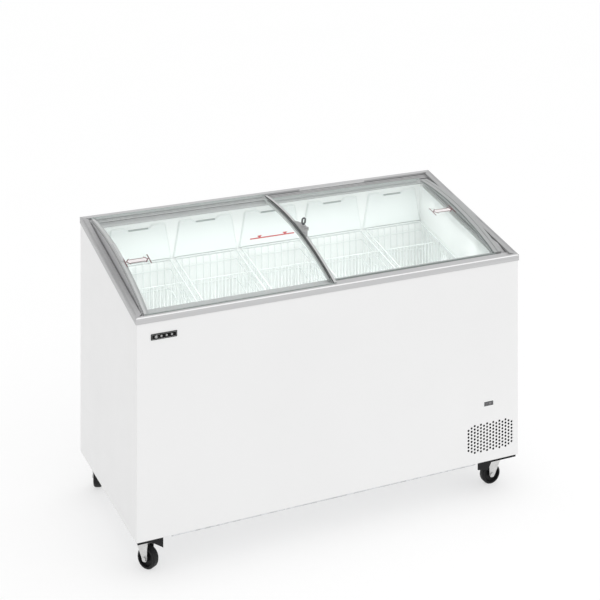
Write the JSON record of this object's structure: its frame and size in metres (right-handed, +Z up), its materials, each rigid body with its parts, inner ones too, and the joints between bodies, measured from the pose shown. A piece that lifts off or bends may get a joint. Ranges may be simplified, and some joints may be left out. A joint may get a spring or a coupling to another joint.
{
  "type": "display chest freezer",
  "caption": "White chest freezer on castors with a sloped grey top frame, curved sliding glass lids, hanging baskets, a round-hole air vent and a small temperature display.",
  "frame": {"origin": "middle of the footprint, on the floor under the castors", "axes": "+Z up, +X to the right seen from the front, -Y out of the front face"},
  "size_m": [1.3, 0.6719, 0.9028],
  "materials": {
    "white_sheet": "white powder coat, satin",
    "galvanised": "galvanised sheet",
    "foam": "rigid insulation foam",
    "liner": "white-coated embossed aluminium",
    "collar_white": "white moulded plastic",
    "grey_frame": "grey extruded frame, satin",
    "light_grey": "light grey moulding",
    "clear_glass": "curved tempered glass",
    "seal_rubber": "soft seal",
    "zinc": "bright zinc plate",
    "chrome": "polished",
    "black_steel": "black powder coat",
    "black_plastic": "black moulded plastic",
    "wheel_plastic": "black hard tread",
    "white_label": "blank white strip",
    "red_label": "red printed film",
    "display": "dark display window",
    "copper": "copper tube",
    "compressor_black": "black enamel",
    "fin_aluminium": "mill finish",
    "white_wire": "white coated wire"
  },
  "bodies": {
    "cabinet": {"outer_wrap": "white_sheet", "rear_panel": "galvanised", "rear_grille": "black_plastic", "base_pan": "galvanised", "foam_insulation": "foam", "inner_liner": "liner", "inner_collar": "collar_white", "collar_back_panels": "collar_white", "front_rail": "grey_frame", "back_rail": "grey_frame", "side_rails": "grey_frame", "side_gables": "grey_frame", "front_badge": "black_plastic", "rail_label_strip": "white_label", "load_line_label": "red_label", "thermometer_bezel": "collar_white", "thermometer_display": "display", "evaporator_coil": "copper", "compressor": "compressor_black", "compressor_feet": "seal_rubber", "condenser": "fin_aluminium", "fan_shroud": "black_plastic", "fan_motor": "galvanised", "filter_drier": "copper", "refrigerant_pipes": "copper", "relay_box": "black_plastic", "thermostat_body": "black_plastic", "power_cord": "black_plastic", "panel_screws": "zinc", "castor_brackets": "black_steel", "castor_plates": "zinc", "castor_screws": "zinc"},
    "left_lid": {"left_lid_glass": "clear_glass", "left_lid_end_bar": "light_grey", "left_lid_middle_bar": "light_grey", "left_lid_seal": "seal_rubber", "left_lid_glides": "light_grey", "lock_housing": "light_grey"},
    "right_lid": {"right_lid_glass": "clear_glass", "right_lid_end_bar": "light_grey", "right_lid_middle_bar": "light_grey", "right_lid_seal": "seal_rubber", "right_lid_glides": "light_grey"},
    "lock_cylinder": {"lock_barrel": "chrome", "lock_key": "chrome"},
    "condenser_fan": {"fan_blades": "fin_aluminium"},
    "thermostat_dial": {"thermostat_knob": "light_grey"},
    "basket_1": {"basket_1": "white_wire"},
    "basket_2": {"basket_2": "white_wire"},
    "basket_3": {"basket_3": "white_wire"},
    "basket_4": {"basket_4": "white_wire"},
    "basket_5": {"basket_5": "white_wire"},
    "castor_front_left": {"castor_fork_front_left": "zinc"},
    "wheel_front_left": {"castor_wheel_front_left": "wheel_plastic"},
    "castor_front_right": {"castor_fork_front_right": "zinc"},
    "wheel_front_right": {"castor_wheel_front_right": "wheel_plastic"},
    "castor_rear_left": {"castor_fork_rear_left": "zinc"},
    "wheel_rear_left": {"castor_wheel_rear_left": "wheel_plastic"},
    "castor_rear_right": {"castor_fork_rear_right": "zinc"},
    "wheel_rear_right": {"castor_wheel_rear_right": "wheel_plastic"}
  },
  "joints": [
    {"name": "left_lid_slide", "type": "slide", "parent": "cabinet", "child": "left_lid", "axis": [1, 0, 0], "range_m": [0, 0.555]},
    {"name": "right_lid_slide", "type": "slide", "parent": "cabinet", "child": "right_lid", "axis": [1, 0, 0], "range_m": [-0.555, 0]},
    {"name": "lock_turn", "type": "hinge", "parent": "left_lid", "child": "lock_cylinder", "pos_m": [0.008, -0.01963, 0.87816], "axis": [0, -0.1736, 0.9848], "range_deg": [0, 90]},
    {"name": "basket_1_lift", "type": "slide", "parent": "cabinet", "child": "basket_1", "axis": [0, 0, 1], "range_m": [0, 0.11]},
    {"name": "basket_2_lift", "type": "slide", "parent": "cabinet", "child": "basket_2", "axis": [0, 0, 1], "range_m": [0, 0.11]},
    {"name": "basket_3_lift", "type": "slide", "parent": "cabinet", "child": "basket_3", "axis": [0, 0, 1], "range_m": [0, 0.11]},
    {"name": "basket_4_lift", "type": "slide", "parent": "cabinet", "child": "basket_4", "axis": [0, 0, 1], "range_m": [0, 0.11]},
    {"name": "basket_5_lift", "type": "slide", "parent": "cabinet", "child": "basket_5", "axis": [0, 0, 1], "range_m": [0, 0.11]},
    {"name": "swivel_front_left", "type": "hinge", "parent": "cabinet", "child": "castor_front_left", "pos_m": [-0.602, -0.252, 0.11], "axis": [0, 0, 1], "continuous": true},
    {"name": "roll_front_left", "type": "hinge", "parent": "castor_front_left", "child": "wheel_front_left", "pos_m": [-0.59299, -0.26642, 0.0335], "axis": [-0.848, -0.5299, 0], "continuous": true},
    {"name": "swivel_front_right", "type": "hinge", "parent": "cabinet", "child": "castor_front_right", "pos_m": [0.602, -0.252, 0.11], "axis": [0, 0, 1], "continuous": true},
    {"name": "roll_front_right", "type": "hinge", "parent": "castor_front_right", "child": "wheel_front_right", "pos_m": [0.585, -0.252, 0.0335], "axis": [0, 1, 0], "continuous": true},
    {"name": "swivel_rear_left", "type": "hinge", "parent": "cabinet", "child": "castor_rear_left", "pos_m": [-0.602, 0.288, 0.11], "axis": [0, 0, 1], "continuous": true},
    {"name": "roll_rear_left", "type": "hinge", "parent": "castor_rear_left", "child": "wheel_rear_left", "pos_m": [-0.59455, 0.30328, 0.0335], "axis": [0.8988, -0.4384, 0], "continuous": true},
    {"name": "swivel_rear_right", "type": "hinge", "parent": "cabinet", "child": "castor_rear_right", "pos_m": [0.602, 0.288, 0.11], "axis": [0, 0, 1], "continuous": true},
    {"name": "roll_rear_right", "type": "hinge", "parent": "castor_rear_right", "child": "wheel_rear_right", "pos_m": [0.58659, 0.28081, 0.0335], "axis": [-0.4226, 0.9063, 0], "continuous": true},
    {"name": "fan_spin", "type": "hinge", "parent": "cabinet", "child": "condenser_fan", "pos_m": [0.54, -0.267, 0.205], "axis": [0, 1, 0], "continuous": true},
    {"name": "thermostat_turn", "type": "hinge", "parent": "cabinet", "child": "thermostat_dial", "pos_m": [0.59, 0.3265, 0.262], "axis": [0, 1, 0], "range_deg": [-135, 135]}
  ]
}
